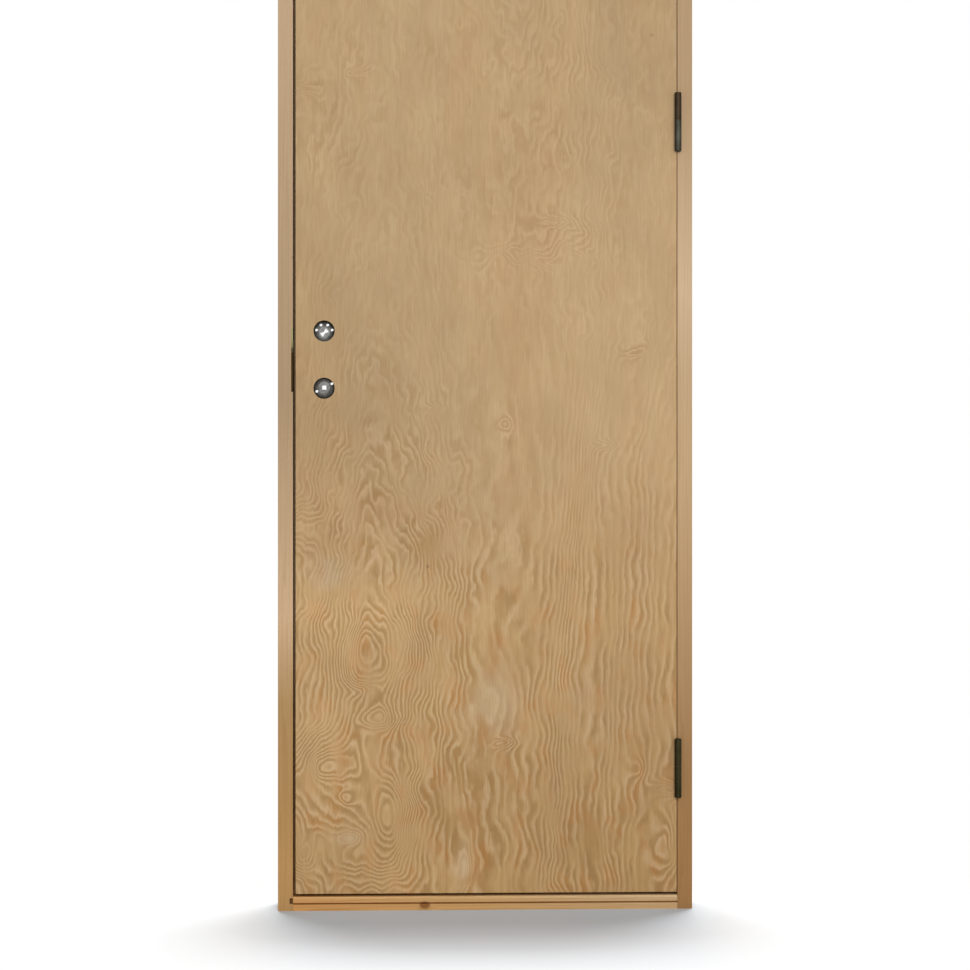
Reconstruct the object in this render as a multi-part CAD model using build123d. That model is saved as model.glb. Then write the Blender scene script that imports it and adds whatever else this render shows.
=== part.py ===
from build123d import *
import math
import os

# A storage door of pine and plywood, in millimetres: a rebated frame, a flush leaf on two lift-off
# hinges, and a mortise lock whose handle and cylinder bores stand empty.
# The front looks towards -Y. The origin is at the foot of the hinge jamb's wall face, at mid depth.

# Frame
FRAME_WIDTH = 790.0
FRAME_HEIGHT = 1790.0
FRAME_DEPTH = 92.0
JAMB_THICKNESS = 42.0
HEAD_THICKNESS = 42.0
REBATE_WIDTH = 13.5
ARRIS_RADIUS = 1.0
FRAME_SCREW_RADIUS = 7.0
FRAME_SCREW_FROM_FLOOR = 420.0
FRAME_SCREW_FROM_TOP = 440.0
FRAME_SCREW_FROM_BACK = 24.0

# Sill, with a fall to the front and a saw groove along its face
SILL_FALL = 1.0
SILL_NOSE_RADIUS = 3.0
SILL_GROOVE_HEIGHT = 12.0
SILL_GROOVE_WIDTH = 3.0
SILL_GROOVE_DEPTH = 5.0

# Damage on the lock jamb: a pocket beside the sill's end and a chip on the front arris
POCKET_WIDTH = 6.5
POCKET_HEIGHT = 10.5
POCKET_DEPTH = 6.0
CHIP_RADIUS = 3.0
CHIP_HEIGHT = 1241.0

# Leaf and the gaps round it
LEAF_THICKNESS = 40.0
PLYWOOD_THICKNESS = 6.5
LEAF_BOTTOM_HEIGHT = 32.0
HINGE_GAP = 1.2
LOCK_GAP = 5.0
HEAD_GAP = 5.0
SILL_GAP = 5.0
HINGE_STILE_WIDTH = 45.0
LOCK_STILE_WIDTH = 45.0
RAIL_HEIGHT = 70.0
PLYWOOD_EDGE_RADIUS = 0.6

# Seals in the frame's stops
SEAL_SPACE = 5.0
SEAL_CLEARANCE = 0.3
SEAL_WIDTH = 6.5
SEAL_STEM_WIDTH = 3.0
SEAL_STEM_DEPTH = 6.0

# Hinges
UPPER_HINGE_FROM_TOP = 285.0
LOWER_HINGE_FROM_FLOOR = 272.0
KNUCKLE_RADIUS = 6.5
KNUCKLE_CLEARANCE = 1.0
KNUCKLE_END_RADIUS = 1.5
LEAF_KNUCKLE_LENGTH = 52.0
FRAME_KNUCKLE_LENGTH = 59.0
HINGE_PLATE_THICKNESS = 2.5
HINGE_PLATE_DEPTH = 31.0
PIN_FROM_REBATE = 0.5
PIN_RADIUS = 4.0
PIN_RUNNING_FIT = 0.08
PIN_SEAT_FIT = 0.02
PIN_END_SPACE = 4.0
WASHER_THICKNESS = 1.5
WASHER_RADIUS = 6.0
WASHER_PLAY = 0.1

# Lock
HANDLE_HEIGHT = 995.5
LOCK_CENTRES = 105.0
BACKSET = 54.0
BORE_RADIUS = 20.2
BORE_BEYOND_AXIS = 2.0
CASE_THICKNESS = 16.0
CASE_BEHIND_AXES = 28.0
CASE_BEYOND_AXES = 32.0
CASE_FIT = 0.2
FOREND_HEIGHT = 235.0
FOREND_WIDTH = 22.0
FOREND_THICKNESS = 3.0
LOCK_BLOCK_MARGIN = 36.0
LOCK_BLOCK_REACH = 120.0
FOLLOWER_RADIUS = 11.0
FOLLOWER_SQUARE = 8.2
FOLLOWER_RUNNING_FIT = 0.08
HANDLE_SCREW_CIRCLE = 16.0
HANDLE_SCREW_ANGLE = 27.0
CAM_RADIUS = 10.5
CAM_FIT = 0.1
CAM_SLOT_LENGTH = 15.0
CAM_SLOT_END_WIDTH = 9.5
CAM_SLOT_WAIST = 4.5
CAM_SLOT_ANGLE = 40.0
CYLINDER_SCREW_CIRCLE = 15.6
CYLINDER_SCREW_ANGLES = (24.0, 72.0)
LOCK_SCREW_RADIUS = 2.8
BOLT_SPACING = 40.0
BOLT_THICKNESS = 12.0
BOLT_LENGTH = 38.0
LATCH_HEIGHT = 26.0
DEAD_BOLT_HEIGHT = 30.0
BOLT_FIT = 0.3

# Strike plate in the lock jamb
STRIKE_HEIGHT = 123.0
STRIKE_WIDTH = 34.0
STRIKE_THICKNESS = 3.5
STRIKE_LIP_HEIGHT = 40.0
STRIKE_LIP_WIDTH = 8.0
STRIKE_WINDOW_MARGIN = 2.0
STRIKE_POCKET_DEPTH = 15.0

# Planes of the frame
front = -FRAME_DEPTH / 2
back = FRAME_DEPTH / 2
lock_outside = -FRAME_WIDTH
hinge_stop = -JAMB_THICKNESS
lock_stop = lock_outside + JAMB_THICKNESS
hinge_wall = hinge_stop + REBATE_WIDTH
lock_wall = lock_stop - REBATE_WIDTH
head_stop = FRAME_HEIGHT - HEAD_THICKNESS
head_wall = head_stop + REBATE_WIDTH
sill_seat = LEAF_BOTTOM_HEIGHT - SILL_GAP
sill_nose = sill_seat - SILL_FALL
sill_stop = sill_seat + REBATE_WIDTH

# Planes of the leaf
leaf_back = front + LEAF_THICKNESS
stop_face = leaf_back + SEAL_SPACE
leaf_right = hinge_wall - HINGE_GAP
leaf_left = lock_wall + LOCK_GAP
leaf_bottom = LEAF_BOTTOM_HEIGHT
leaf_top = head_wall - HEAD_GAP
core_front = front + PLYWOOD_THICKNESS
core_back = leaf_back - PLYWOOD_THICKNESS

# Axes of the hinges and the lock
pin_x = hinge_wall + PIN_FROM_REBATE
pin_y = front - KNUCKLE_RADIUS - KNUCKLE_CLEARANCE
upper_split = FRAME_HEIGHT - UPPER_HINGE_FROM_TOP
lower_split = LOWER_HINGE_FROM_FLOOR
lock_x = leaf_left + BACKSET
lock_y = (front + leaf_back) / 2
lock_middle = HANDLE_HEIGHT + LOCK_CENTRES / 2
cylinder_height = HANDLE_HEIGHT + LOCK_CENTRES
latch_height = lock_middle - BOLT_SPACING / 2
dead_bolt_height = lock_middle + BOLT_SPACING / 2
case_front = leaf_left + FOREND_THICKNESS
case_back = lock_x + CASE_BEHIND_AXES


def block(x_from, x_to, y_from, y_to, z_from, z_to):
    """A square-edged block between six planes."""
    size = Box(x_to - x_from, y_to - y_from, z_to - z_from)
    return Pos((x_from + x_to) / 2, (y_from + y_to) / 2, (z_from + z_to) / 2) * size


def upright_rod(x, y, z_from, z_to, radius):
    """A round rod along Z."""
    return Pos(x, y, (z_from + z_to) / 2) * Cylinder(radius, z_to - z_from)


def through_rod(x, z, y_from, y_to, radius):
    """A round rod along Y, through the thickness of the door."""
    return Pos(x, (y_from + y_to) / 2, z) * Rot(90, 0, 0) * Cylinder(radius, y_to - y_from)


def edges_along(solid, axis, **place):
    """The edges of a solid that run along an axis at the given X, Y or Z."""
    found = solid.edges().filter_by(axis)
    for letter, value in place.items():
        found = found.filter_by(lambda edge: abs(getattr(edge.center(), letter) - value) < 1e-4)
    return found


def frame_screw_holes(x_from, x_to):
    """The two sleeve holes through a jamb, behind the leaf's rebate."""
    y = back - FRAME_SCREW_FROM_BACK
    holes = []
    for z in (FRAME_SCREW_FROM_FLOOR, FRAME_HEIGHT - FRAME_SCREW_FROM_TOP):
        rod = Cylinder(FRAME_SCREW_RADIUS, abs(x_to - x_from))
        holes.append(Pos((x_from + x_to) / 2, y, z) * Rot(0, 90, 0) * rod)
    return holes


# Seal centre lines, halfway over the band where the leaf laps the stop
hinge_seal_x = (hinge_stop + leaf_right) / 2
lock_seal_x = (lock_stop + leaf_left) / 2
head_seal_z = (head_stop + leaf_top) / 2
sill_seal_z = (sill_stop + leaf_bottom) / 2
seal_crest = leaf_back + SEAL_CLEARANCE
stem_end = stop_face + SEAL_STEM_DEPTH


def upright_seal(x):
    """A rubber seal down a jamb's stop: a rounded bulb on a stem."""
    half_bulb = SEAL_WIDTH / 2
    half_stem = SEAL_STEM_WIDTH / 2
    bulb = block(x - half_bulb, x + half_bulb, seal_crest, stop_face, sill_seat, head_wall)
    bulb = fillet(edges_along(bulb, Axis.Z, Y=seal_crest), half_bulb * 0.8)
    return bulb + block(x - half_stem, x + half_stem, stop_face, stem_end, sill_seat, head_wall)


def level_seal(z):
    """A rubber seal along the head's or the sill's stop."""
    half_bulb = SEAL_WIDTH / 2
    half_stem = SEAL_STEM_WIDTH / 2
    bulb = block(lock_stop, hinge_stop, seal_crest, stop_face, z - half_bulb, z + half_bulb)
    bulb = fillet(edges_along(bulb, Axis.X, Y=seal_crest), half_bulb * 0.8)
    return bulb + block(lock_stop, hinge_stop, stop_face, stem_end, z - half_stem, z + half_stem)


hinge_side_seal = upright_seal(hinge_seal_x)
lock_side_seal = upright_seal(lock_seal_x)
head_seal = level_seal(head_seal_z)
sill_seal = level_seal(sill_seal_z)


# Hinge halves: the upper half turns with the leaf, the lower half holds the pin
def leaf_half_bottom(split):
    """The underside of the leaf's knuckle, on its washer."""
    return split + WASHER_THICKNESS + WASHER_PLAY


def leaf_plate(split):
    """The plate let into the leaf's hinge edge."""
    z = leaf_half_bottom(split)
    plate_left = leaf_right - HINGE_PLATE_THICKNESS
    return block(plate_left, leaf_right, pin_y, front + HINGE_PLATE_DEPTH, z, z + LEAF_KNUCKLE_LENGTH)


def frame_plate(split):
    """The plate let into the hinge jamb's rebate."""
    plate_right = hinge_wall + HINGE_PLATE_THICKNESS
    z = split - FRAME_KNUCKLE_LENGTH
    return block(hinge_wall, plate_right, pin_y, front + HINGE_PLATE_DEPTH, z, split)


def leaf_hinge_half(split):
    """The leaf's plate with its knuckle, bored from below for the pin."""
    bottom = leaf_half_bottom(split)
    top = bottom + LEAF_KNUCKLE_LENGTH
    knuckle = upright_rod(pin_x, pin_y, bottom, top, KNUCKLE_RADIUS)
    knuckle = fillet(knuckle.edges().sort_by(Axis.Z)[-1], KNUCKLE_END_RADIUS)
    half_web = HINGE_PLATE_THICKNESS / 2
    web = block(leaf_right - half_web, pin_x, pin_y - half_web, pin_y + half_web, bottom, top - 2 * half_web)
    bore = upright_rod(pin_x, pin_y, bottom, top - PIN_END_SPACE, PIN_RADIUS + PIN_RUNNING_FIT)
    return knuckle + leaf_plate(split) + web - bore


def frame_hinge_half(split):
    """The frame's plate with its knuckle, bored from above for the pin."""
    bottom = split - FRAME_KNUCKLE_LENGTH
    knuckle = upright_rod(pin_x, pin_y, bottom, split, KNUCKLE_RADIUS)
    knuckle = fillet(knuckle.edges().sort_by(Axis.Z)[0], KNUCKLE_END_RADIUS)
    bore = upright_rod(pin_x, pin_y, bottom + PIN_END_SPACE, split, PIN_RADIUS + PIN_SEAT_FIT)
    return knuckle + frame_plate(split) - bore


def hinge_pin(split):
    """The round pin that stands in the frame's knuckle."""
    bottom = split - FRAME_KNUCKLE_LENGTH + PIN_END_SPACE
    top = leaf_half_bottom(split) + LEAF_KNUCKLE_LENGTH - 2 * PIN_END_SPACE
    return upright_rod(pin_x, pin_y, bottom, top, PIN_RADIUS)


def hinge_washer(split):
    """The ring that the leaf's knuckle runs on."""
    ring = upright_rod(pin_x, pin_y, split, split + WASHER_THICKNESS, WASHER_RADIUS)
    return ring - upright_rod(pin_x, pin_y, split, split + WASHER_THICKNESS, PIN_RADIUS + PIN_RUNNING_FIT)


# Hinge jamb, rebated for the leaf, with the frame plates let in
hinge_jamb = block(hinge_wall, 0, front, stop_face, 0, FRAME_HEIGHT)
hinge_jamb += block(hinge_stop, 0, stop_face, back, 0, FRAME_HEIGHT)
hinge_jamb = fillet(edges_along(hinge_jamb, Axis.Z, Y=front), ARRIS_RADIUS)
hinge_jamb -= hinge_side_seal
for split in (upper_split, lower_split):
    hinge_jamb -= frame_plate(split)
for hole in frame_screw_holes(hinge_stop, 0):
    hinge_jamb -= hole

# Strike plate: a lip reaches the front face above, the rest stands back from it
strike_bottom = lock_middle - STRIKE_HEIGHT / 2
strike_top = lock_middle + STRIKE_HEIGHT / 2
strike_left = lock_wall - STRIKE_THICKNESS
strike_back = front + STRIKE_WIDTH
strike_plate = block(strike_left, lock_wall, front + STRIKE_LIP_WIDTH, strike_back, strike_bottom, strike_top)
strike_plate += block(
    strike_left, lock_wall, front, front + STRIKE_LIP_WIDTH, strike_top - STRIKE_LIP_HEIGHT, strike_top
)
strike_recess = block(strike_left, lock_wall, front, strike_back, strike_bottom, strike_top)
strike_pockets = []
for height, bolt in ((latch_height, LATCH_HEIGHT), (dead_bolt_height, DEAD_BOLT_HEIGHT)):
    half_height = bolt / 2 + STRIKE_WINDOW_MARGIN
    half_width = BOLT_THICKNESS / 2 + STRIKE_WINDOW_MARGIN
    strike_pockets.append(
        block(
            strike_left - STRIKE_POCKET_DEPTH,
            lock_wall,
            lock_y - half_width,
            lock_y + half_width,
            height - half_height,
            height + half_height,
        )
    )
for pocket in strike_pockets:
    strike_plate -= pocket

# Lock jamb, the mirror of the hinge jamb, cut for the strike plate and the bolts
lock_jamb = block(lock_outside, lock_wall, front, stop_face, 0, FRAME_HEIGHT)
lock_jamb += block(lock_outside, lock_stop, stop_face, back, 0, FRAME_HEIGHT)
lock_jamb = fillet(edges_along(lock_jamb, Axis.Z, Y=front), ARRIS_RADIUS)
lock_jamb -= lock_side_seal
lock_jamb -= strike_recess
for pocket in strike_pockets:
    lock_jamb -= pocket
for hole in frame_screw_holes(lock_outside, lock_stop):
    lock_jamb -= hole
pocket_bottom = SILL_GROOVE_HEIGHT + SILL_GROOVE_WIDTH / 2
lock_jamb -= block(
    lock_wall - POCKET_WIDTH,
    lock_wall,
    front,
    front + POCKET_DEPTH,
    pocket_bottom,
    pocket_bottom + POCKET_HEIGHT,
)
lock_jamb -= Pos(lock_wall, front, CHIP_HEIGHT) * Sphere(CHIP_RADIUS)

# Head between the jambs, rebated like them
head = block(lock_wall, hinge_wall, front, stop_face, head_wall, FRAME_HEIGHT)
head += block(lock_stop, hinge_stop, stop_face, back, head_stop, FRAME_HEIGHT)
head = fillet(edges_along(head, Axis.X, Y=front), ARRIS_RADIUS)
head -= head_seal

# Sill between the jambs
sill_outline = Polyline(
    (lock_wall, front, 0),
    (lock_wall, front, sill_nose),
    (lock_wall, leaf_back, sill_seat),
    (lock_wall, stop_face, sill_seat),
    (lock_wall, stop_face, 0),
    close=True,
)
sill = extrude(make_face(sill_outline), amount=hinge_wall - lock_wall, dir=(1, 0, 0))
sill += block(lock_stop, hinge_stop, stop_face, back, 0, sill_stop)
sill = fillet(edges_along(sill, Axis.X, Y=front, Z=sill_nose), SILL_NOSE_RADIUS)
sill -= block(
    lock_wall,
    hinge_wall,
    front,
    front + SILL_GROOVE_DEPTH,
    SILL_GROOVE_HEIGHT,
    SILL_GROOVE_HEIGHT + SILL_GROOVE_WIDTH,
)
sill -= sill_seal

# Lock case with its forend, bolts, follower and cam
case_bottom = HANDLE_HEIGHT - CASE_BEYOND_AXES
case_top = cylinder_height + CASE_BEYOND_AXES
case_near = lock_y - CASE_THICKNESS / 2
case_far = lock_y + CASE_THICKNESS / 2


def bolt_block(height, tall, slack):
    """A lock bolt drawn back flush with the forend, or with slack the space that it slides in."""
    half_thick = BOLT_THICKNESS / 2 + slack
    half_tall = tall / 2 + slack
    end = leaf_left + BOLT_LENGTH + slack
    return block(leaf_left, end, lock_y - half_thick, lock_y + half_thick, height - half_tall, height + half_tall)


def lock_hole(x, z, radius):
    """A round hole through the lock case."""
    return through_rod(x, z, case_near, case_far, radius)


latch_bolt = bolt_block(latch_height, LATCH_HEIGHT, 0)
dead_bolt = bolt_block(dead_bolt_height, DEAD_BOLT_HEIGHT, 0)
lock_case = block(case_front, case_back, case_near, case_far, case_bottom, case_top)
lock_forend = block(
    leaf_left,
    case_front,
    lock_y - FOREND_WIDTH / 2,
    lock_y + FOREND_WIDTH / 2,
    lock_middle - FOREND_HEIGHT / 2,
    lock_middle + FOREND_HEIGHT / 2,
)
forend_recess = lock_forend
for height, tall in ((latch_height, LATCH_HEIGHT), (dead_bolt_height, DEAD_BOLT_HEIGHT)):
    lock_case -= bolt_block(height, tall, BOLT_FIT)
    lock_forend -= bolt_block(height, tall, BOLT_FIT)
lock_case -= lock_hole(lock_x, HANDLE_HEIGHT, FOLLOWER_RADIUS + FOLLOWER_RUNNING_FIT)
lock_case -= lock_hole(lock_x, cylinder_height, CAM_RADIUS + CAM_FIT)
for side in (-1, 1):
    across = side * HANDLE_SCREW_CIRCLE * math.cos(math.radians(HANDLE_SCREW_ANGLE))
    rise = side * HANDLE_SCREW_CIRCLE * math.sin(math.radians(HANDLE_SCREW_ANGLE))
    lock_case -= lock_hole(lock_x + across, HANDLE_HEIGHT + rise, LOCK_SCREW_RADIUS)
    for angle in CYLINDER_SCREW_ANGLES:
        across = side * CYLINDER_SCREW_CIRCLE * math.sin(math.radians(angle))
        rise = CYLINDER_SCREW_CIRCLE * math.cos(math.radians(angle))
        lock_case -= lock_hole(lock_x + across, cylinder_height + rise, LOCK_SCREW_RADIUS)

handle_follower = lock_hole(lock_x, HANDLE_HEIGHT, FOLLOWER_RADIUS)
half_square = FOLLOWER_SQUARE / 2
handle_follower -= block(
    lock_x - half_square,
    lock_x + half_square,
    case_near,
    case_far,
    HANDLE_HEIGHT - half_square,
    HANDLE_HEIGHT + half_square,
)

half_slot = CAM_SLOT_LENGTH / 2
cam_slot_outline = Polyline(
    (-half_slot, -CAM_SLOT_END_WIDTH / 2),
    (0, -CAM_SLOT_WAIST / 2),
    (half_slot, -CAM_SLOT_END_WIDTH / 2),
    (half_slot, CAM_SLOT_END_WIDTH / 2),
    (0, CAM_SLOT_WAIST / 2),
    (-half_slot, CAM_SLOT_END_WIDTH / 2),
    close=True,
)
cam_slot = extrude(make_face(cam_slot_outline), amount=CASE_THICKNESS / 2, both=True)
cylinder_cam = lock_hole(lock_x, cylinder_height, CAM_RADIUS)
cylinder_cam -= Pos(lock_x, lock_y, cylinder_height) * Rot(90, 0, 0) * Rot(0, 0, CAM_SLOT_ANGLE) * cam_slot

# Leaf: two plywood skins on stiles and rails, with a block behind the lock stile for the case
lock_mortise = block(
    leaf_left,
    case_back + CASE_FIT,
    case_near - CASE_FIT,
    case_far + CASE_FIT,
    case_bottom - CASE_FIT,
    case_top + CASE_FIT,
)
lock_bores = []
for height in (HANDLE_HEIGHT - BORE_BEYOND_AXIS, cylinder_height + BORE_BEYOND_AXIS):
    lock_bores.append(through_rod(lock_x, height, front, leaf_back, BORE_RADIUS))
stile_inside = leaf_left + LOCK_STILE_WIDTH

front_plywood = block(leaf_left, leaf_right, front, core_front, leaf_bottom, leaf_top)
front_plywood = fillet(front_plywood.faces().sort_by(Axis.Y)[0].edges(), PLYWOOD_EDGE_RADIUS)
back_plywood = block(leaf_left, leaf_right, core_back, leaf_back, leaf_bottom, leaf_top)
back_plywood = fillet(back_plywood.faces().sort_by(Axis.Y)[-1].edges(), PLYWOOD_EDGE_RADIUS)
hinge_stile = block(leaf_right - HINGE_STILE_WIDTH, leaf_right, core_front, core_back, leaf_bottom, leaf_top)
for split in (upper_split, lower_split):
    front_plywood -= leaf_plate(split)
    hinge_stile -= leaf_plate(split)

lock_stile = block(leaf_left, stile_inside, core_front, core_back, leaf_bottom, leaf_top)
lock_stile -= forend_recess
lock_stile -= lock_mortise
lock_block = block(
    stile_inside,
    case_back + LOCK_BLOCK_MARGIN,
    core_front,
    core_back,
    HANDLE_HEIGHT - LOCK_BLOCK_REACH,
    cylinder_height + LOCK_BLOCK_REACH,
)
lock_block -= lock_mortise
for bore in lock_bores:
    front_plywood -= bore
    back_plywood -= bore
    lock_stile -= bore
    lock_block -= bore

rail_right = leaf_right - HINGE_STILE_WIDTH
top_rail = block(stile_inside, rail_right, core_front, core_back, leaf_top - RAIL_HEIGHT, leaf_top)
bottom_rail = block(stile_inside, rail_right, core_front, core_back, leaf_bottom, leaf_bottom + RAIL_HEIGHT)

pieces = {
    "hinge_jamb": hinge_jamb,
    "lock_jamb": lock_jamb,
    "head": head,
    "sill": sill,
    "hinge_side_seal": hinge_side_seal,
    "lock_side_seal": lock_side_seal,
    "head_seal": head_seal,
    "sill_seal": sill_seal,
    "strike_plate": strike_plate,
    "upper_hinge_frame_half": frame_hinge_half(upper_split),
    "lower_hinge_frame_half": frame_hinge_half(lower_split),
    "upper_hinge_pin": hinge_pin(upper_split),
    "lower_hinge_pin": hinge_pin(lower_split),
    "upper_hinge_washer": hinge_washer(upper_split),
    "lower_hinge_washer": hinge_washer(lower_split),
    "front_plywood": front_plywood,
    "back_plywood": back_plywood,
    "hinge_stile": hinge_stile,
    "lock_stile": lock_stile,
    "lock_block": lock_block,
    "top_rail": top_rail,
    "bottom_rail": bottom_rail,
    "upper_hinge_leaf_half": leaf_hinge_half(upper_split),
    "lower_hinge_leaf_half": leaf_hinge_half(lower_split),
    "lock_case": lock_case,
    "lock_forend": lock_forend,
    "latch_bolt": latch_bolt,
    "dead_bolt": dead_bolt,
    "cylinder_cam": cylinder_cam,
    "handle_follower": handle_follower,
}
os.makedirs("parts", exist_ok=True)
for name, shape in pieces.items():
    export_step(shape, "parts/" + name + ".step")
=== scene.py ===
import math

import bmesh
import bpy
from mathutils import Matrix, Vector


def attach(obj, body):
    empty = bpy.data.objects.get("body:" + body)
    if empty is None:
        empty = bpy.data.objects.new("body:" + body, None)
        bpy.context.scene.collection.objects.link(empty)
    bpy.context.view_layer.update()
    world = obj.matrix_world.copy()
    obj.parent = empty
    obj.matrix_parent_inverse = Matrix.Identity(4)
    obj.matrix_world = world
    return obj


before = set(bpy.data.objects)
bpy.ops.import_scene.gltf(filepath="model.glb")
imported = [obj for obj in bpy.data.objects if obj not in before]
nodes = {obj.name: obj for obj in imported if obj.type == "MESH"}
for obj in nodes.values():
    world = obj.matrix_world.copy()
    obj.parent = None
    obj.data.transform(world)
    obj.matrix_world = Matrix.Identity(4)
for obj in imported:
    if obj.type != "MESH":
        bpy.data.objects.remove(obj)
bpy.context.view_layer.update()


# Frame jambs and head: planed pine, rebated on the inside for the leaf, grain along each length.
# The jambs stand full height and the head is coped between them. Bare wood, warmer towards the floor;
# the hinge jamb darkened in part by painted shade, and a small pocket at the foot of the lock jamb painted
# dark as shade.
def box(name):
    """The lowest and the highest corner of one CAD node."""
    points = [vertex.co for vertex in nodes[name].data.vertices]
    return [Vector([pick(point[axis] for point in points) for axis in range(3)]) for pick in (min, max)]


def add(tree, kind, inputs=None, **settings):
    """One shader node; its inputs are numbers, colours or other nodes' outputs."""
    made = tree.nodes.new("ShaderNode" + kind)
    for name, value in settings.items():
        setattr(made, name, value)
    for socket, value in (inputs or {}).items():
        if isinstance(value, bpy.types.NodeSocket):
            tree.links.new(value, made.inputs[socket])
        else:
            made.inputs[socket].default_value = value
    return made


def math_node(tree, operation, *values, clamp=False):
    made = add(tree, "Math", dict(enumerate(values)), operation=operation, use_clamp=clamp)
    return made.outputs[0]


def vector_node(tree, operation, *values):
    made = add(tree, "VectorMath", dict(enumerate(values)), operation=operation)
    return made.outputs["Value" if operation in ("DOT_PRODUCT", "LENGTH") else "Vector"]


def fade(tree, value, start, end, first=0.0, last=1.0, kind="LINEAR"):
    """A number that goes from first to last while the value goes from start to end."""
    ends = {0: value, 1: start, 2: end, 3: first, 4: last}
    return add(tree, "MapRange", ends, interpolation_type=kind).outputs[0]


def mix_colour(tree, factor, first, second, blend="MIX"):
    made = add(tree, "Mix", {0: factor, 6: first, 7: second}, data_type="RGBA", blend_type=blend)
    return made.outputs[2]


def ramp(tree, factor, stops):
    made = add(tree, "ValToRGB", {0: factor})
    while len(made.color_ramp.elements) < len(stops):
        made.color_ramp.elements.new(0.5)
    for element, (place, colour) in zip(made.color_ramp.elements, stops):
        element.position = place
        element.color = (*colour, 1.0)
    return made.outputs[0]


def shaded(tree, colour, factor, stops, share=1.0):
    """A colour under a shade that changes with the factor."""
    return mix_colour(tree, share, colour, ramp(tree, factor, stops), "MULTIPLY")


def noise(tree, vector, scale, detail=2.0, roughness=0.5, dimensions="3D"):
    grain = {"Vector": vector, "Scale": scale, "Detail": detail, "Roughness": roughness}
    return add(tree, "TexNoise", grain, noise_dimensions=dimensions).outputs[0]


def new_material(name):
    material = bpy.data.materials.new(name)
    material.use_nodes = True
    tree = material.node_tree
    tree.nodes.clear()
    shader = add(tree, "BsdfPrincipled")
    add(tree, "OutputMaterial", {"Surface": shader.outputs[0]})
    return material, tree, shader


def finish_surface(tree, shader, colour, roughness, strength, distance, height):
    """Joins colour, roughness and relief to a shader."""
    tree.links.new(colour, shader.inputs["Base Color"])
    tree.links.new(roughness, shader.inputs["Roughness"])
    relief = add(tree, "Bump", {"Strength": strength, "Distance": distance, "Height": height})
    tree.links.new(relief.outputs[0], shader.inputs["Normal"])


def part_place(tree):
    """The point on the part, in the shared frame."""
    return add(tree, "TexCoord").outputs["Object"]


def lengths(tree, place):
    """A point's X, Y and Z."""
    return add(tree, "SeparateXYZ", {0: place}).outputs


def pine(name, along, early, late, shades, knots=(), painted_shade_boxes=()):
    """Planed pine with its grain along one axis: growth lines, fibres, shades up its height, and painted
    shade inside given boxes.
    """
    lines_per_metre, ring_tilt, wander, grain_stretch = 170.0, 0.6, 9.0, 0.03
    material, tree, shader = new_material(name)
    place = part_place(tree)
    parts = lengths(tree, place)
    squeeze = (1.0, 1.0, grain_stretch) if along == "Z" else (grain_stretch, 1.0, 1.0)
    drawn = vector_node(tree, "MULTIPLY", place, squeeze)
    width = parts["X" if along == "Z" else "Z"]
    across = math_node(tree, "MULTIPLY_ADD", parts["Y"], ring_tilt, width)
    rings = math_node(tree, "MULTIPLY", across, lines_per_metre)
    rings = math_node(tree, "MULTIPLY_ADD", noise(tree, drawn, 26.0, 3.0, 0.55), wander, rings)
    hearts = 0.0
    knot_squeeze = (0.7, 1.0, 1.0)
    for x, z, size, count in knots:
        offset = vector_node(tree, "SUBTRACT", place, (x, front_face, z))
        offset = vector_node(tree, "MULTIPLY", offset, knot_squeeze)
        square = vector_node(tree, "DOT_PRODUCT", offset, offset)
        swell = math_node(tree, "EXPONENT", math_node(tree, "MULTIPLY", square, -1.0 / size ** 2))
        rings = math_node(tree, "MULTIPLY_ADD", swell, count, rings)
        hearts = math_node(tree, "MAXIMUM", hearts, fade(tree, swell, 0.25, 0.80))
    lines = math_node(tree, "POWER", math_node(tree, "FRACT", rings), 2.2)
    fibres = noise(tree, drawn, 480.0, 2.0)
    clouds = noise(tree, drawn, 12.0, 2.0)
    depth = math_node(tree, "MULTIPLY_ADD", fibres, 0.5, -0.2)
    depth = math_node(tree, "MULTIPLY_ADD", lines, 0.45, depth)
    depth = math_node(tree, "ADD", depth, math_node(tree, "MULTIPLY_ADD", clouds, 0.8, -0.4), clamp=True)
    colour = mix_colour(tree, depth, (*early, 1.0), (*late, 1.0))
    colour = shaded(tree, colour, math_node(tree, "MULTIPLY", parts["Z"], 1.0 / frame_height), shades)
    if knots:
        bark = ((0.30, (0.170, 0.055, 0.004)), (0.70, (0.125, 0.034, 0.001)), (1.0, (0.300, 0.120, 0.026)))
        colour = mix_colour(tree, hearts, colour, ramp(tree, hearts, bark))
    # Painted shade: inside each given box the wood is darkened, standing in for the shade in a recess.
    for low, high, shade in painted_shade_boxes:
        inside = 1.0
        for axis, lowest, highest in zip("XYZ", low, high):
            above = math_node(tree, "GREATER_THAN", parts[axis], lowest)
            below = math_node(tree, "LESS_THAN", parts[axis], highest)
            inside = math_node(tree, "MULTIPLY", inside, math_node(tree, "MULTIPLY", above, below))
        painted_shade_colour = mix_colour(tree, 1.0, colour, (*shade, 1.0), "MULTIPLY")
        colour = mix_colour(tree, inside, colour, painted_shade_colour)
    roughness = math_node(tree, "MULTIPLY_ADD", depth, -0.12, 0.62)
    finish_surface(tree, shader, colour, roughness, strength=0.25, distance=0.0004, height=depth)
    shader.inputs["Specular IOR Level"].default_value = 0.2
    return material


def dress(material, *names):
    for name in names:
        nodes[name].data.materials.clear()
        nodes[name].data.materials.append(material)


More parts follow.
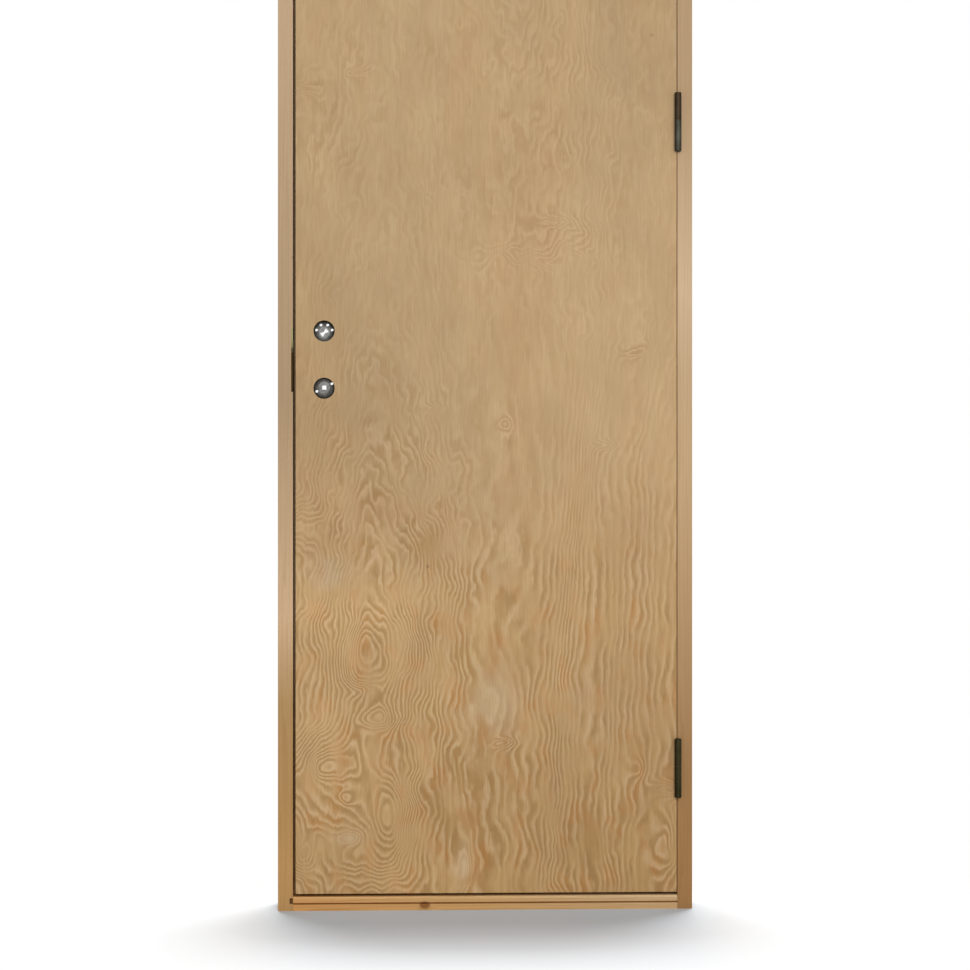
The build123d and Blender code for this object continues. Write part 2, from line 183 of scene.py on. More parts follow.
jamb_low, jamb_high = box("lock_jamb")
front_face = jamb_low.y
frame_height = jamb_high.z
frame_early = (0.525, 0.375, 0.232)
frame_late = (0.400, 0.268, 0.150)
lock_jamb_shades = (
    (0.05, (0.99, 0.78, 0.47)), (0.12, (0.84, 0.67, 0.39)), (0.22, (0.82, 0.69, 0.45)),
    (0.31, (1.18, 1.12, 1.06)), (0.54, (0.78, 0.75, 0.69)), (0.96, (0.98, 0.96, 0.93)),
)
# Up the hinge jamb the timber's tones carry painted shade as well: darkened a little all over, and most at
# its foot.
hinge_jamb_shades = (
    (0.05, (0.70, 0.51, 0.29)), (0.14, (0.66, 0.50, 0.30)), (0.46, (1.00, 0.94, 0.82)),
    (0.57, (1.00, 0.96, 0.88)), (0.66, (1.14, 1.13, 1.13)), (0.86, (0.82, 0.76, 0.67)),
)
head_shades = ((0.0, (0.92, 0.90, 0.86)), (1.0, (0.94, 0.92, 0.88)))
bare_skin = 0.0005
pocket_depth = 0.0065
# Painted shade: the pocket is darkened, standing in for the shade inside it.
pocket_low = (-0.7685, front_face + bare_skin, 0.0130)
pocket_high = (-0.7610, front_face + pocket_depth, 0.0245)
pocket_painted_shade = (0.30, 0.22, 0.15)
lock_jamb_pine = pine("lock_jamb_pine", "Z", frame_early, frame_late, lock_jamb_shades,
                      painted_shade_boxes=((pocket_low, pocket_high, pocket_painted_shade),))
dress(lock_jamb_pine, "lock_jamb")
dress(pine("hinge_jamb_pine", "Z", frame_early, frame_late, hinge_jamb_shades), "hinge_jamb")
dress(pine("head_pine", "X", frame_early, frame_late, head_shades), "head")


# Sill: one pine board between the jambs, with a slight fall to the front and a saw groove along its face.
# Its grain runs along the sill, redder at the lock side, and one brown knot sits on the groove.
# Its groove is darkened with painted shade, and its nose carries a painted highlight that stops behind it.
def shade_over(material, factor, stops):
    """Lays a shade, which changes with the factor, over a material's own colour."""
    tree = material.node_tree
    base = tree.nodes["Principled BSDF"].inputs["Base Color"]
    tree.links.new(shaded(tree, base.links[0].from_socket, factor, stops), base)


sill_low, sill_high = box("sill")
end_overlap = 0.0035
groove_depth, groove_bottom, groove_top = 0.0060, 0.0115, 0.0155
groove_low = (sill_low.x - end_overlap, front_face + bare_skin, groove_bottom)
groove_high = (sill_high.x + end_overlap, front_face + groove_depth, groove_top)
# Painted shade: the saw groove is darkened, standing in for the shade inside it.
groove_painted_shade = (0.62, 0.42, 0.20)
sill_early = (0.700, 0.452, 0.210)
sill_late = (0.430, 0.230, 0.078)
# The top stop paints a highlight along the sill's nose.
sill_shades = (
    (0.0, (0.93, 0.84, 0.70)), (0.0066, (0.95, 0.88, 0.80)), (0.0128, (0.94, 0.92, 0.90)),
    (0.0143, (1.34, 1.40, 1.50)),
)
sill_knot = (-0.511, 0.0098, 0.0080, 3.0)
sill_pine = pine("sill_pine", "X", sill_early, sill_late, sill_shades,
                 knots=(sill_knot,), painted_shade_boxes=((groove_low, groove_high, groove_painted_shade),))
tree = sill_pine.node_tree
parts = lengths(tree, part_place(tree))
along_sill = fade(tree, parts["X"], sill_low.x, sill_high.x)
shade_over(sill_pine, along_sill, (
    (0.0, (1.04, 0.90, 0.72)), (0.45, (1.0, 0.98, 0.93)), (1.0, (1.0, 1.11, 1.36))))
# Behind the nose the painted highlight is taken back, leaving the wood under the leaf a little darker than
# the face.
nose_depth, shade_end = 0.004, 0.016
behind_nose = fade(tree, parts["Y"], front_face + nose_depth, front_face + shade_end)
shade_over(sill_pine, behind_nose, ((0.0, (1.0, 1.0, 1.0)), (1.0, (0.62, 0.58, 0.54))))
dress(sill_pine, "sill")

# Seals: brown extruded rubber, pressed into grooves in the stops of the frame.
# Only their bulbs show, behind the leaf's edges.
seal_rubber, tree, shader = new_material("seal_rubber")
dust = noise(tree, part_place(tree), 180.0, 3.0)
rubber = ramp(tree, dust, ((0.3, (0.26, 0.115, 0.042)), (0.8, (0.38, 0.180, 0.070))))
tree.links.new(rubber, shader.inputs["Base Color"])
tree.links.new(math_node(tree, "MULTIPLY_ADD", dust, 0.2, 0.6), shader.inputs["Roughness"])
shader.inputs["Specular IOR Level"].default_value = 0.1
dress(seal_rubber, "hinge_side_seal", "lock_side_seal", "head_seal", "sill_seal")


# Hinges: dark bronzed steel, the upper half on the leaf and the lower half with its pin on the frame.
# Drawn knuckles, slightly streaked along their length; the pin is bright and its washer brass.
def metal(name, dark, light, roughness, streak=(1.0, 1.0, 0.06), scale=300.0):
    """Worn metal: streaks and clouds between two tones, with rougher and smoother places."""
    material, tree, shader = new_material(name)
    place = part_place(tree)
    lines = noise(tree, vector_node(tree, "MULTIPLY", place, streak), scale, 3.0, 0.6)
    clouds = noise(tree, place, 45.0, 3.0, 0.55)
    tone = math_node(tree, "MULTIPLY", math_node(tree, "ADD", lines, clouds), 0.5)
    colour = ramp(tree, tone, ((0.35, dark), (0.65, light)))
    wear = math_node(tree, "MULTIPLY_ADD", tone, 0.3, roughness - 0.15)
    finish_surface(tree, shader, colour, wear, strength=0.15, distance=0.0002, height=lines)
    shader.inputs["Metallic"].default_value = 1.0
    return material


brown_steel = metal("brown_hinge_steel", (0.024, 0.015, 0.009), (0.056, 0.040, 0.025), 0.55)
grey_steel = metal("grey_hinge_steel", (0.026, 0.025, 0.018), (0.078, 0.075, 0.058), 0.55)
olive_steel = metal("olive_hinge_steel", (0.020, 0.017, 0.007), (0.042, 0.036, 0.016), 0.55)
pin_steel = metal("pin_steel", (0.30, 0.29, 0.27), (0.50, 0.49, 0.46), 0.3)
washer_brass = metal("washer_brass", (0.028, 0.022, 0.011), (0.060, 0.046, 0.024), 0.45)
dress(brown_steel, "upper_hinge_leaf_half")
dress(grey_steel, "upper_hinge_frame_half")
dress(olive_steel, "lower_hinge_leaf_half", "lower_hinge_frame_half")
dress(pin_steel, "upper_hinge_pin", "lower_hinge_pin")
dress(washer_brass, "upper_hinge_washer", "lower_hinge_washer")

# Hinge screws: countersunk cross-head steel screws, three to a plate, driven almost flush.
# Those in the jamb hold the frame half and those in the leaf's edge the leaf half.
scene = bpy.context.scene
all_ways = (1.0, 1.0, 1.0)


def put(name, data):
    """A new object in the scene."""
    stand = bpy.data.objects.new(name, data)
    scene.collection.objects.link(stand)
    return stand


def screw(name, centre, outward, radius, material, body):
    """A screw head: a low cone with a cross cut in its top, standing a little out of its plate."""
    rise, cut_floor, chamfer, steps = 0.0003, 0.00008, 0.0003, 28
    arm, half_arm = radius * 0.55, radius * 0.14
    lowest_turn, turn_per_metre = 17.0, 1900.0
    shape = bmesh.new()
    turns = [2 * math.pi * step / steps for step in range(steps)]
    circles = []
    for reach, level in ((radius, 0.0), (radius - chamfer, rise)):
        rim = [(reach * math.cos(turn), reach * math.sin(turn), level) for turn in turns]
        circles.append([shape.verts.new(point) for point in rim])
    corners = []
    quarter = [(arm, -half_arm), (arm, half_arm), (half_arm, half_arm)]
    for quarter_turn in range(4):
        corners.extend(quarter)
        quarter = [(-y, x) for x, y in quarter]
    cuts = [[shape.verts.new((x, y, level)) for x, y in corners] for level in (rise, cut_floor)]
    for low, high in (circles, cuts[::-1]):
        for step in range(len(low)):
            after = (step + 1) % len(low)
            side = (low[step], low[after], high[after], high[step])
            shape.faces.new(side if low is circles[0] else side[::-1])
    shape.faces.new(cuts[1])
    loops = []
    for loop in (circles[1], cuts[0]):
        for step in range(len(loop)):
            loops.append(shape.edges.get((loop[step], loop[(step + 1) % len(loop)])))
    bmesh.ops.triangle_fill(shape, edges=loops, use_beauty=True, normal=(0, 0, 1))
    facing = Vector((outward, 0.0, 0.0)).to_track_quat("Z", "Y").to_matrix().to_4x4()
    driven = Matrix.Rotation(math.radians(lowest_turn + turn_per_metre * centre[2]), 4, "Z")
    shape.transform(Matrix.Translation(centre) @ facing @ driven)
    mesh = bpy.data.meshes.new(name)
    shape.to_mesh(mesh)
    shape.free()
    mesh.materials.append(material)
    piece = put(name, mesh)
    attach(piece, body)


screw_steel = metal("screw_steel", (0.20, 0.185, 0.15), (0.42, 0.40, 0.35), 0.35, all_ways, 900.0)
plate_screw_radius = 0.0038
leaf_edge = box("hinge_stile")[1].x
rebate_face = sill_high.x
leaf_plate_screws = ((0.0116, -0.022), (0.0276, -0.033), (0.0446, -0.022))
frame_plate_screws = ((0.010, -0.022), (0.0295, -0.033), (0.049, -0.022))
for side in ("upper", "lower"):
    split = box(f"{side}_hinge_frame_half")[1].z
    for number, (rise, inset) in enumerate(leaf_plate_screws, start=1):
        screw(f"{side}_leaf_plate_screw_{number}", (leaf_edge, inset, split + rise), 1.0,
              plate_screw_radius, screw_steel, "leaf")
    for number, (fall, inset) in enumerate(frame_plate_screws, start=1):
        screw(f"{side}_frame_plate_screw_{number}", (rebate_face, inset, split - fall), -1.0,
              plate_screw_radius, screw_steel, "frame")


# Leaf skins: rotary-cut softwood plywood with the face grain upright, five plies at the edges.
# The knife nearly follows the growth rings, so they show as contour lines: close where the log was
# out of true, broad where it ran true, and ringed round old branches. Paler towards the top.
def hill(tree, place, x, z, half_width, half_height):
    """A round hill on the face, one high at its centre."""
    offset = vector_node(tree, "SUBTRACT", place, (x, z, 0.0))
    offset = vector_node(tree, "MULTIPLY", offset, (1 / half_width, 1 / half_height, 0.0))
    square = vector_node(tree, "DOT_PRODUCT", offset, offset)
    return math_node(tree, "EXPONENT", math_node(tree, "MULTIPLY", square, -1.0))


def with_hills(tree, value, place, hills):
    """A value with hills added; each has its place, half width, half height and rise."""
    for *form, rise in hills:
        value = math_node(tree, "MULTIPLY_ADD", hill(tree, place, *form), rise, value)
    return value


def upright_noise(tree, face, stretch, scale, detail=2.0, roughness=0.5):
    """Noise on the face, drawn out along the upright grain."""
    drawn = vector_node(tree, "MULTIPLY", face, (1.0, stretch, 1.0))
    return noise(tree, drawn, scale, detail, roughness, "2D")


def grey_ramp(tree, factor, stops):
    return ramp(tree, factor, [(place, (level, level, level)) for place, level in stops])


def scaled(tree, vector, factor):
    return add(tree, "VectorMath", {0: vector, "Scale": factor}, operation="SCALE").outputs[0]


plywood, tree, shader = new_material("plywood")
coordinates = add(tree, "TexCoord")
parts = lengths(tree, coordinates.outputs["Object"])
face = add(tree, "CombineXYZ", {0: parts["X"], 1: parts["Z"]}).outputs[0]

# The grain runs calmer low on the hinge side and round the big rings at the lower left.
hinge_side = fade(tree, parts["X"], -0.46, -0.34, kind="SMOOTHSTEP")
calm = fade(tree, parts["Z"], 0.10, 0.50, 0.55, 1.0)
calm = math_node(tree, "MULTIPLY", calm, fade(tree, parts["Z"], 1.14, 1.00, kind="SMOOTHSTEP"))
calm = math_node(tree, "MULTIPLY", calm, hinge_side)
for *form, share in ((-0.605, 0.165, 0.110, 0.120, 0.85), (-0.680, 0.400, 0.130, 0.150, 0.80)):
    smooth = math_node(tree, "MULTIPLY", hill(tree, face, *form), share)
    calm = math_node(tree, "MAXIMUM", calm, smooth)
drift = {"Vector": face, "Scale": 14.0, "Detail": 1.0, "Roughness": 0.45}
drift = add(tree, "TexNoise", drift, noise_dimensions="2D").outputs["Color"]
drift = vector_node(tree, "MULTIPLY_ADD", drift, (0.044, 0.060, 0.0), (-0.022, -0.030, 0.0))
drift = scaled(tree, drift, math_node(tree, "MULTIPLY_ADD", calm, -0.65, 1.0))
wavy = vector_node(tree, "ADD", face, drift)

# How many rings deep the knife cut at each place across the leaf, leaning a little with the height.
across, up = lengths(tree, wavy)[:2]
lean_up, lean_start = -0.02, 0.908
lean = math_node(tree, "MULTIPLY_ADD", up, lean_up, math_node(tree, "ADD", across, lean_start))
slant = fade(tree, up, 0.45, 1.00, 0.0, -0.055)
lean = math_node(tree, "MULTIPLY_ADD", hinge_side, slant, lean)
depths = (
    (-0.900, -8.0), (-0.758, 0.0), (-0.662, 8.0), (-0.620, 10.0), (-0.575, 8.4), (-0.500, 3.2),
    (-0.462, 0.6), (-0.424, -1.4), (-0.365, -3.4), (-0.323, -5.4), (-0.285, -8.6), (-0.214, -16.6),
    (-0.180, -18.1), (-0.128, -22.6), (-0.029, -29.6), (0.020, -32.6),
)
knife_start, knife_width = -0.90, 0.92
deepest, ring_span = -38.0, 50.0
knife = add(tree, "FloatCurve", {"Value": math_node(tree, "MULTIPLY", lean, 1.0 / knife_width)})
curve = knife.mapping.curves[0]
profile = [((x - knife_start) / knife_width, (count - deepest) / ring_span) for x, count in depths]
curve.points[0].location = profile[0]
curve.points[1].location = profile[-1]
for point in profile[1:-1]:
    curve.points.new(*point)
knife.mapping.update()
truer = fade(tree, up, 0.85, 1.55, ring_span, 24.0)
rings = math_node(tree, "MULTIPLY", math_node(tree, "SUBTRACT", knife.outputs[0], 0.6), truer)
rings = math_node(tree, "MULTIPLY_ADD", up, -3.0, rings)

# Waves of four sizes on the rings, and old branches that ring them round.
flames = math_node(tree, "MULTIPLY_ADD", hill(tree, face, -0.130, 0.150, 0.130, 0.140), 0.7,
                   hill(tree, face, -0.425, 0.260, 0.110, 0.340), clamp=True)
small_wave = math_node(tree, "MULTIPLY_ADD", calm, -0.8, 1.7)
ripple = math_node(tree, "MULTIPLY", math_node(tree, "MULTIPLY_ADD", calm, -0.55, 1.0),
                   fade(tree, parts["Z"], 0.50, 0.70, 0.75, 1.3))
frayed = math_node(tree, "MULTIPLY_ADD", flames, -0.24, 0.40)
for stretch, scale, detail, roughness, share in (
    (0.25, 6.0, 1.0, 0.4, 5.0), (0.40, 26.0, 1.0, 0.4, small_wave),
    (0.50, 62.0, 1.0, 0.5, ripple), (0.12, 300.0, 2.0, 0.6, frayed),
):
    wave = upright_noise(tree, face, stretch, scale, detail, roughness)
    rings = math_node(tree, "MULTIPLY_ADD", wave, share, rings)
rings = with_hills(tree, rings, wavy, (
    (-0.698, 0.287, 0.052, 0.042, 6.0), (-0.575, 0.168, 0.042, 0.078, 8.5),
    (-0.744, 0.107, 0.023, 0.046, 6.0), (-0.614, 0.489, 0.062, 0.064, 5.0),
    (-0.600, 0.368, 0.040, 0.020, 4.0), (-0.660, 0.209, 0.015, 0.008, 2.0),
    (-0.649, 0.136, 0.019, 0.013, -3.0), (-0.372, 0.394, 0.048, 0.076, 2.2),
    (-0.361, 0.312, 0.023, 0.010, 3.0), (-0.435, 0.079, 0.015, 0.048, 3.0),
    (-0.103, 0.272, 0.019, 0.023, 2.0), (-0.034, 0.222, 0.038, 0.015, 4.0),
    (-0.052, 0.113, 0.027, 0.057, 3.0), (-0.620, 0.500, 0.130, 0.300, 5.5),
    (-0.520, 0.690, 0.040, 0.050, 3.0), (-0.770, 0.730, 0.060, 0.040, 5.0),
    (-0.357, 0.925, 0.015, 0.011, 2.0), (-0.490, 0.957, 0.023, 0.010, 2.0),
    (-0.168, 0.882, 0.023, 0.008, 2.0), (-0.109, 1.068, 0.027, 0.010, 2.0),
    (-0.325, 1.860, 0.105, 0.400, 11.0), (-0.250, 1.300, 0.050, 0.018, 3.0),
    (-0.300, 1.250, 0.110, 0.012, -2.5), (-0.754, 1.570, 0.040, 0.015, 4.0),
    (-0.633, 1.598, 0.030, 0.012, 2.5), (-0.775, 0.225, 0.115, 0.090, 9.0),
    (-0.614, 0.010, 0.070, 0.050, -7.0), (-0.640, 0.420, 0.030, 0.014, -2.5),
))

# Across one ring: dark late wood with a soft and a hard side, broader in the flames, and a pale rim
# painted as a highlight.
saw = math_node(tree, "FRACT", rings)
late = grey_ramp(tree, saw, (
    (0.0, 0.30), (0.12, 0.0), (0.36, 0.10), (0.56, 0.62), (0.72, 0.92), (0.84, 1.0), (1.0, 0.30)))
broad = grey_ramp(tree, saw, (
    (0.0, 0.25), (0.08, 0.0), (0.44, 0.05), (0.53, 0.85), (0.90, 1.0), (1.0, 0.25)))
late = mix_colour(tree, flames, late, broad)
rim = grey_ramp(tree, saw, ((0.0, 0.1), (0.17, 1.0), (0.40, 0.0), (0.96, 0.0), (1.0, 0.1)))
fibres = upright_noise(tree, face, 0.03, 620.0)
streaks = upright_noise(tree, face, 0.06, 90.0, 3.0, 0.6)
clouds = upright_noise(tree, face, 0.20, 5.0)
patches = upright_noise(tree, face, 0.50, 24.0)
mottle = upright_noise(tree, face, 0.55, 11.0, 3.0, 0.55)
tint = upright_noise(tree, face, 0.60, 23.0)
flecks = upright_noise(tree, face, 0.07, 250.0, 2.0, 0.6)

# The rings show boldly in the lower half and faintly above it.
lower = fade(tree, parts["Z"], 0.95, 0.45, kind="SMOOTHSTEP")
boldness = with_hills(tree, math_node(tree, "MULTIPLY_ADD", lower, 0.72, 0.17), wavy, (
    (-0.624, 0.750, 0.150, 0.190, 0.36), (-0.110, 0.680, 0.160, 0.170, 0.12),
    (-0.290, 1.500, 0.130, 0.270, 0.22), (-0.700, 1.520, 0.090, 0.160, 0.22),
    (-0.270, 1.300, 0.120, 0.060, 0.14), (-0.600, 0.950, 0.110, 0.100, 0.25),
    (-0.360, 0.905, 0.060, 0.060, 0.30), (-0.168, 0.882, 0.050, 0.040, 0.30),
    (-0.109, 1.068, 0.045, 0.020, 0.35), (-0.650, 0.608, 0.150, 0.024, -0.60),
    (-0.340, 0.480, 0.080, 0.100, -0.35), (-0.140, 0.420, 0.120, 0.150, -0.25),
    (-0.650, 0.420, 0.120, 0.140, 0.15),
))
boldness = math_node(tree, "MULTIPLY", boldness, fade(tree, patches, 0.36, 0.64, 0.30, 1.40))
boldness = math_node(tree, "MULTIPLY", boldness, math_node(tree, "MULTIPLY_ADD", streaks, 0.8, 0.6),
                     clamp=True)
depth = math_node(tree, "MULTIPLY", late, boldness)

# Early wood is straw above, warmer below and warmest at the foot; late wood is brown to orange.
early_tone = mix_colour(tree, lower, (0.516, 0.361, 0.195, 1.0), (0.545, 0.362, 0.178, 1.0))
foot = math_node(tree, "MULTIPLY", fade(tree, parts["Z"], 0.40, 0.05),
                 fade(tree, parts["X"], -0.75, -0.03, 0.35, 1.3))
early_tone = mix_colour(tree, foot, early_tone, (0.556, 0.346, 0.150, 1.0))
more_below = math_node(tree, "MULTIPLY_ADD", lower, 0.6, 0.4)
blush = math_node(tree, "MULTIPLY", fade(tree, clouds, 0.45, 0.75), more_below)
early_tone = mix_colour(tree, blush, early_tone, (0.555, 0.345, 0.158, 1.0))
# Painted highlight: a pale rim beside the hard side of each dark ring, as if its edge caught the light.
rim_highlight_share = math_node(tree, "MULTIPLY", math_node(tree, "MULTIPLY", rim, boldness), 0.60)
early_tone = mix_colour(tree, rim_highlight_share, early_tone, (0.640, 0.458, 0.272, 1.0))
ember = math_node(tree, "MULTIPLY", fade(tree, tint, 0.48, 0.68), lower)
ember = math_node(tree, "MAXIMUM", ember, math_node(tree, "MULTIPLY", flames, 0.55))
late_tone = mix_colour(tree, ember, (0.398, 0.242, 0.098, 1.0), (0.430, 0.232, 0.074, 1.0))
wood = mix_colour(tree, depth, early_tone, late_tone)
blotches = fade(tree, upright_noise(tree, face, 0.35, 38.0), 0.53, 0.58)
blotches = math_node(tree, "MULTIPLY", math_node(tree, "MULTIPLY", blotches, flames), 0.55)
wood = mix_colour(tree, blotches, wood, (0.452, 0.264, 0.104, 1.0))
pale_spots = (
    (-0.377, 0.386, 0.040, 0.050, 0.60), (-0.437, 0.082, 0.014, 0.040, 0.70),
    (-0.654, 0.134, 0.020, 0.013, 0.60), (-0.690, 0.640, 0.040, 0.030, 0.55),
)
wood = mix_colour(tree, with_hills(tree, 0.0, wavy, pale_spots), wood, (0.600, 0.448, 0.288, 1.0))
brown_spots = (
    (-0.195, 0.151, 0.018, 0.050, 0.60), (-0.108, 0.300, 0.016, 0.040, 0.60),
    (-0.403, 0.342, 0.010, 0.020, 0.60), (-0.420, 0.056, 0.024, 0.012, 0.65),
    (-0.503, 0.690, 0.028, 0.036, 0.50), (-0.660, 0.290, 0.014, 0.020, 0.50),
)
wood = mix_colour(tree, with_hills(tree, 0.0, wavy, brown_spots), wood, (0.452, 0.250, 0.092, 1.0))

# Greenish and reddish tints, flecks, fibres, streaks and mottling, then broad lighter and darker fields,
# one of them painted light along the foot.
tints = ((0.30, (0.99, 1.0, 0.945)), (0.50, (1.0, 1.0, 1.0)), (0.70, (1.0, 0.945, 0.90)))
wood = shaded(tree, wood, tint, tints, more_below)
wood = shaded(tree, wood, flecks, ((0.32, (0.955, 0.945, 0.93)), (0.60, (1.0, 1.0, 1.0))))
wood = shaded(tree, wood, fibres, ((0.25, (0.93, 0.915, 0.89)), (0.75, (1.0, 1.0, 1.0))))
wood = shaded(tree, wood, streaks, ((0.30, (0.965, 0.95, 0.93)), (0.70, (1.0, 1.0, 1.0))))
wood = shaded(tree, wood, mottle, ((0.32, (0.91, 0.90, 0.89)), (0.68, (1.0, 1.0, 1.0))))
# Among these fields, the wide rise along the foot is painted light, lifting the wood where the floor
# leaves it in shade.
wood = scaled(tree, wood, with_hills(tree, 1.0, face, (
    (-0.100, 1.080, 0.220, 0.320, 0.07), (-0.680, 1.000, 0.200, 0.300, -0.07),
    (-0.690, 0.280, 0.220, 0.320, 0.09), (0.000, 1.650, 0.260, 0.260, -0.09),
    (0.000, 0.250, 0.250, 0.420, -0.07), (-0.600, 0.575, 0.260, 0.050, 0.11),
    (-0.470, 0.050, 0.360, 0.050, 0.14), (-0.640, 0.910, 0.140, 0.090, -0.06),
    (-0.505, 0.654, 0.002, 0.003, -0.55), (-0.077, 1.669, 0.003, 0.003, -0.25),
)))

# The plies show on every surface that does not face the front or the back.
facing = lengths(tree, coordinates.outputs["Normal"])["Y"]
square_on, two_plies = 0.6, 0.0026
edge = math_node(tree, "LESS_THAN", math_node(tree, "ABSOLUTE", facing), square_on)
ply = math_node(tree, "FRACT", math_node(tree, "MULTIPLY", parts["Y"], 1.0 / two_plies))
ply_tone = ramp(tree, ply, (
    (0.0, (0.30, 0.175, 0.08)), (0.06, (0.60, 0.43, 0.25)), (0.48, (0.58, 0.41, 0.23)),
    (0.54, (0.36, 0.22, 0.10)), (1.0, (0.42, 0.26, 0.12))))
colour = mix_colour(tree, edge, wood, ply_tone)
roughness = math_node(tree, "MULTIPLY_ADD", depth, -0.10, 0.60)
relief_height = math_node(tree, "MULTIPLY_ADD", fibres, 0.4, streaks)
finish_surface(tree, shader, colour, roughness, strength=0.2, distance=0.0003, height=relief_height)
shader.inputs["Specular IOR Level"].default_value = 0.2
dress(plywood, "front_plywood", "back_plywood")

# Leaf core: pine stiles, rails and a lock block glued between the skins.
# They show as the middle of the leaf's edges and inside the lock bores.
core_early = (0.560, 0.400, 0.225)
core_late = (0.420, 0.275, 0.135)
core_shades = ((0.0, (0.96, 0.92, 0.86)), (1.0, (1.0, 1.0, 1.0)))
core_upright = pine("core_upright", "Z", core_early, core_late, core_shades)
core_level = pine("core_level", "X", core_early, core_late, core_shades)
dress(core_upright, "hinge_stile", "lock_stile", "lock_block")
dress(core_level, "top_rail", "bottom_rail")

# Lock: a pressed steel case in the lock stile, with its forend, bolts, follower and cylinder cam.
# Dark oiled steel inside, with painted shade darkest near the rim of each bore, and zinc plate on the
# forend.
case_steel = metal("case_steel", (0.030, 0.030, 0.028), (0.110, 0.108, 0.102), 0.42, all_ways, 160.0)
cam_low, cam_high = box("cylinder_cam")
follower_low, follower_high = box("handle_follower")
lock_axis = (cam_low.x + cam_high.x) / 2
cam_height = (cam_low.z + cam_high.z) / 2
follower_height = (follower_low.z + follower_high.z) / 2
middle = (cam_height + follower_height) / 2
bore_shift, rim_shade_reach = 0.001, 0.021
bore_offset = (cam_height - follower_height) / 2 + bore_shift
tree = case_steel.node_tree
parts = lengths(tree, part_place(tree))
aside = math_node(tree, "SUBTRACT", parts["X"], lock_axis)
above = math_node(tree, "ABSOLUTE", math_node(tree, "SUBTRACT", parts["Z"], middle))
above = math_node(tree, "SUBTRACT", above, bore_offset)
reach = vector_node(tree, "LENGTH", add(tree, "CombineXYZ", {0: aside, 1: above}).outputs[0])
# Painted shade: the case darkens towards the rim of each bore, where the bore's edge shades it.
shade_over(case_steel, math_node(tree, "MULTIPLY", reach, 1.0 / rim_shade_reach), (
    (0.50, (1.0, 1.0, 1.0)), (0.72, (0.45, 0.44, 0.42)), (0.95, (0.08, 0.075, 0.07))))
follower_steel = metal("follower_steel", (0.035, 0.035, 0.033), (0.130, 0.127, 0.122), 0.34,
                       all_ways, 200.0)
forend_steel = metal("forend_steel", (0.27, 0.265, 0.25), (0.42, 0.41, 0.39), 0.36)
along_bolts = (1.0, 0.06, 1.0)
bolt_steel = metal("bolt_steel", (0.12, 0.115, 0.105), (0.24, 0.23, 0.21), 0.30, along_bolts, 500.0)
dress(case_steel, "lock_case")
dress(follower_steel, "handle_follower", "cylinder_cam")
dress(forend_steel, "lock_forend")
dress(bolt_steel, "latch_bolt", "dead_bolt")
forend_screw_steel = metal("forend_screw_steel", (0.16, 0.155, 0.145), (0.32, 0.31, 0.29), 0.3,
                           all_ways, 900.0)
forend_screw_radius = 0.0036
forend_low, forend_high = box("lock_forend")
forend_middle = (forend_low.y + forend_high.y) / 2
forend_inset = 0.0125
for number, z in enumerate((forend_low.z + forend_inset, forend_high.z - forend_inset), start=1):
    screw(f"forend_screw_{number}", (forend_low.x, forend_middle, z), -1.0,
          forend_screw_radius, forend_screw_steel, "leaf")

# Strike plate: folded steel let into the lock jamb, with a lip that shows from the front.
# Brown with age, its lower part painted almost black as shade, and held by two screws like the forend's.
strike_steel = metal("strike_steel", (0.100, 0.084, 0.036), (0.200, 0.172, 0.085), 0.45)
tree = strike_steel.node_tree
parts = lengths(tree, part_place(tree))
# Painted shade: the plate's lower part, which stands back from the front, is darkened almost to black.
shade_over(strike_steel, fade(tree, parts["Z"], 1.060, 1.085), (
    (0.0, (0.16, 0.11, 0.07)), (1.0, (1.0, 1.0, 1.0))))
dress(strike_steel, "strike_plate")
strike_low, strike_high = box("strike_plate")
strike_inset = 0.010
for number, z in enumerate((strike_low.z + strike_inset, strike_high.z - strike_inset), start=1):
    screw(f"strike_screw_{number}", (strike_high.x, forend_middle, z), 1.0,
          forend_screw_radius, forend_screw_steel, "frame")


# Studio floor and surround: a pale floor that runs out into a white surround.
# Near the door the floor is paint that takes the shadow, with a painted cooler tint before the door to
# cancel the warm light the door bounces onto it; further off it glows white, but only for the rays that
# show it, so that it throws no more light on the door.
def seen_rays(tree):
    """One for the rays that show a thing: the camera's own, and those by gloss or through glass."""
    rays = add(tree, "LightPath").outputs
    shown = math_node(tree, "MAXIMUM", rays["Is Camera Ray"], rays["Is Glossy Ray"])
    return math_node(tree, "MAXIMUM", shown, rays["Is Transmission Ray"])


left, right, near, far = -12, 12, -8, 14
floor_mesh = bpy.data.meshes.new("floor")
floor_corners = [(left, near, 0), (right, near, 0), (right, far, 0), (left, far, 0)]
floor_mesh.from_pydata(floor_corners, [], [(0, 1, 2, 3)])
floor = put("floor", floor_mesh)
floor_white = bpy.data.materials.new("floor_white")
floor_white.use_nodes = True
tree = floor_white.node_tree
tree.nodes.clear()
parts = lengths(tree, part_place(tree))
door_middle = (jamb_low.x + box("hinge_jamb")[1].x) / 2
side_share, back_share, front_share = 0.75, 2.5, -1.0
glow_rise, glow_start = 2.2, -0.95
aside = math_node(tree, "MULTIPLY", math_node(tree, "SUBTRACT", parts["X"], door_middle), side_share)
behind = math_node(tree, "MAXIMUM", math_node(tree, "MULTIPLY", parts["Y"], back_share),
                   math_node(tree, "MULTIPLY", parts["Y"], front_share))
away = vector_node(tree, "LENGTH", add(tree, "CombineXYZ", {0: aside, 1: behind}).outputs[0])
glow = math_node(tree, "MULTIPLY_ADD", away, glow_rise, glow_start, clamp=True)
seen = seen_rays(tree)
before_door = fade(tree, parts["Y"], -0.06, -0.30)
# Painted light: cooler close to the door's front, to cancel the warm light the door throws there, and
# plain beside it.
bounce_cancelling_tint = ramp(tree, before_door, ((0.0, (0.675, 0.755, 0.830)), (1.0, (0.610, 0.630, 0.655))))
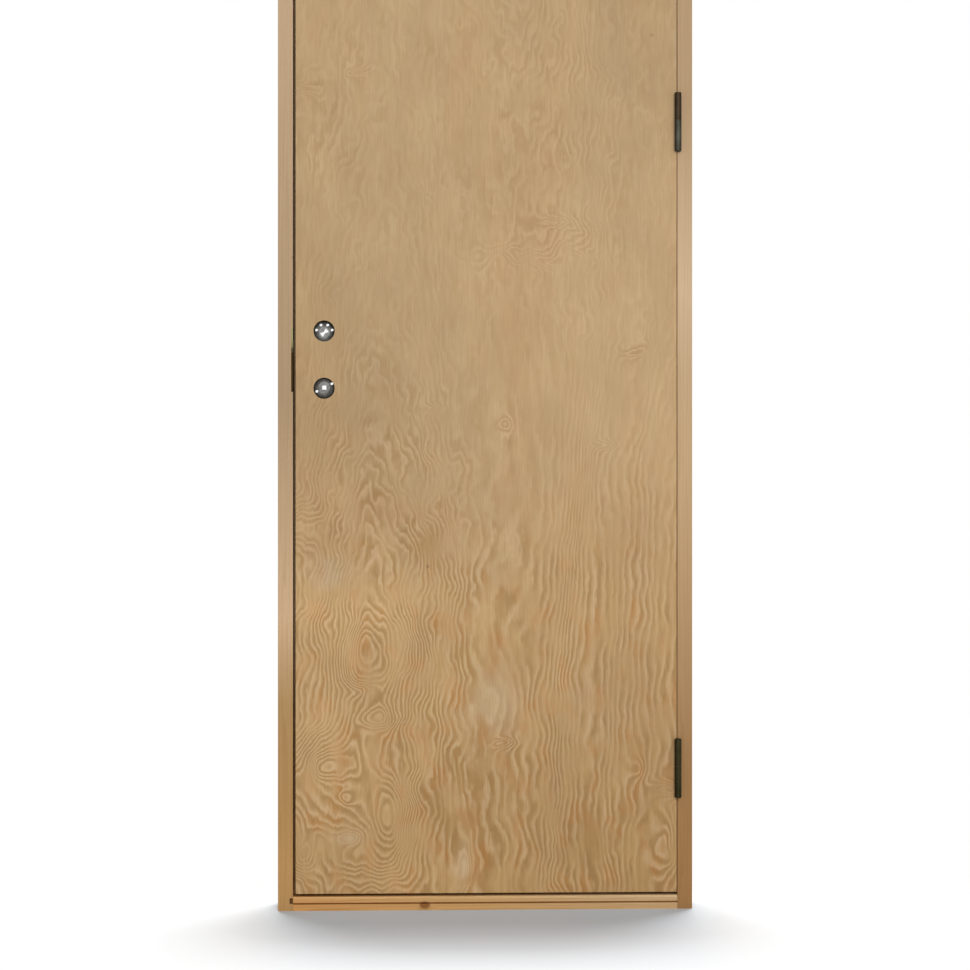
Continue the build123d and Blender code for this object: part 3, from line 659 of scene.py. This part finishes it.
beside_door = fade(tree, math_node(tree, "ABSOLUTE", aside), 0.24, 0.33)
bounce_cancelling_tint = mix_colour(tree, beside_door, bounce_cancelling_tint, (0.635, 0.640, 0.645, 1.0))
paint = mix_colour(tree, seen, (0.38, 0.38, 0.38, 1.0), bounce_cancelling_tint)
plain = add(tree, "BsdfDiffuse", {0: paint}).outputs[0]
white = (1.0, 1.0, 1.0, 1.0)
bright = add(tree, "Emission", {0: white, 1: 1.0}).outputs[0]
glow_seen = math_node(tree, "MULTIPLY", glow, seen)
surface = add(tree, "MixShader", {0: glow_seen, 1: plain, 2: bright}).outputs[0]
add(tree, "OutputMaterial", {"Surface": surface})
floor_mesh.materials.append(floor_white)

world = bpy.data.worlds.new("surround")
scene.world = world
world.use_nodes = True
tree = world.node_tree
tree.nodes.clear()
lighting_strength, seen_strength = 0.35, 1.0
strength = math_node(tree, "MULTIPLY_ADD", seen_rays(tree), seen_strength - lighting_strength,
                     lighting_strength)
background = add(tree, "Background", {0: white, 1: strength}).outputs[0]
add(tree, "OutputWorld", {0: background})


# Lights: one steep soft light from behind, which lays the shadow before the door's foot,
# and one large soft round light in front, high and a little to the right.
def aim(stand, direction):
    stand.rotation_euler = direction.to_track_quat("-Z", "Y").to_euler()


steep = bpy.data.lights.new("steep_light", "SUN")
steep.angle = math.radians(20.0)
steep.energy = 3.7
aim(put("steep_light", steep), Vector((-0.028, -0.245, -1.0)))

front = bpy.data.lights.new("front_light", "AREA")
front.shape = "DISK"
front.size = 3.5
front.energy = 240.0
front_stand = put("front_light", front)
front_stand.location = (0.45, -6.2, 2.4)
leaf_middle = Vector((-0.40, 0.0, 0.9))
aim(front_stand, leaf_middle - front_stand.location)

# Camera: level, a little lower than the handle, off to the lock side and turned back to the door.
# The top of the door is outside the picture, as in the photograph.
camera = bpy.data.cameras.new("camera")
camera.sensor_width = 36.0
camera.lens = 87.69
camera_stand = put("camera", camera)
camera_stand.location = (-0.5547, -4.546, 0.8095)
camera_stand.rotation_euler = (math.radians(90.0), 0.0, math.radians(-2.016))
scene.camera = camera_stand
scene.view_settings.view_transform = "Standard"
